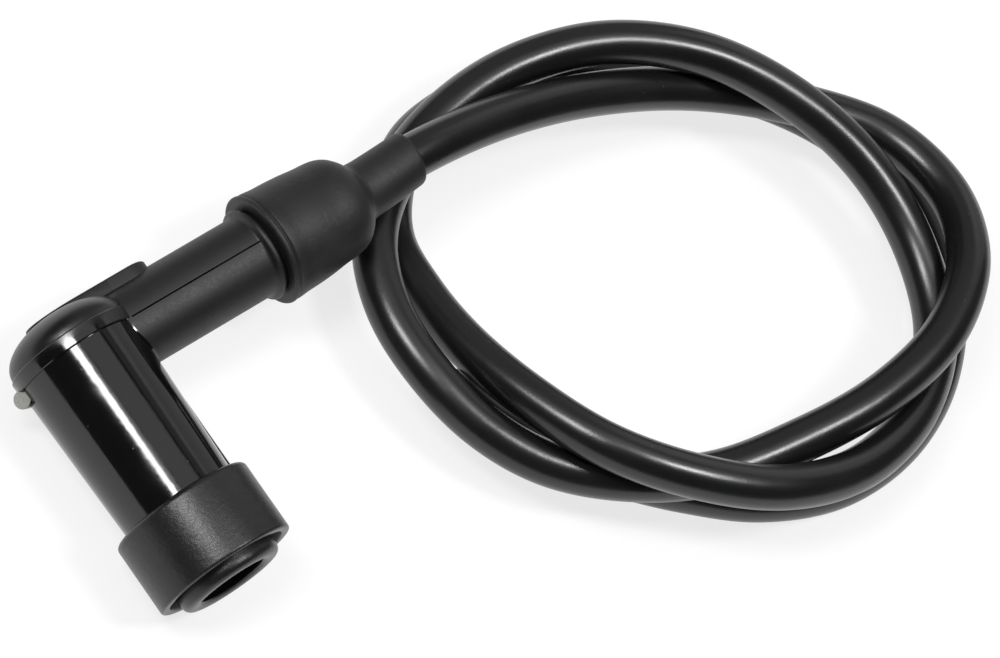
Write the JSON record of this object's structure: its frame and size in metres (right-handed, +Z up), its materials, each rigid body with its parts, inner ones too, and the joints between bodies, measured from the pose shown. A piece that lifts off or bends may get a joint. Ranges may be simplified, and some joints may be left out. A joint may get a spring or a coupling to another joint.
{
  "type": "spark plug wire",
  "caption": "Black ignition lead lying in loose loops, with a right-angle spark plug cap, rubber collar and rubber boot at one end and a bare cut end.",
  "frame": {"origin": "on the surface the part lies on, below the middle of the cap's box without the lead and its boot", "axes": "+X along the cap's wire tube seen from above, -Y along the plug tube, +Z up from the surface"},
  "size_m": [0.1577, 0.089, 0.0247],
  "materials": {
    "hard_plastic": "glossy moulded",
    "collar_rubber": "matte, scuffed",
    "boot_rubber": "matte, scuffed",
    "lead_jacket": "semi-gloss",
    "brass": "turned",
    "ceramic": "smooth",
    "spring_steel": "drawn wire"
  },
  "bodies": {
    "root": {"cap_body": "hard_plastic", "plug_seal": "collar_rubber", "wire_boot": "boot_rubber", "ignition_lead": "lead_jacket", "lead_screw": "brass", "contact_block": "brass", "resistor": "ceramic", "contact_spring": "spring_steel", "plug_terminal": "brass", "terminal_clip": "spring_steel"}
  },
  "joints": []
}
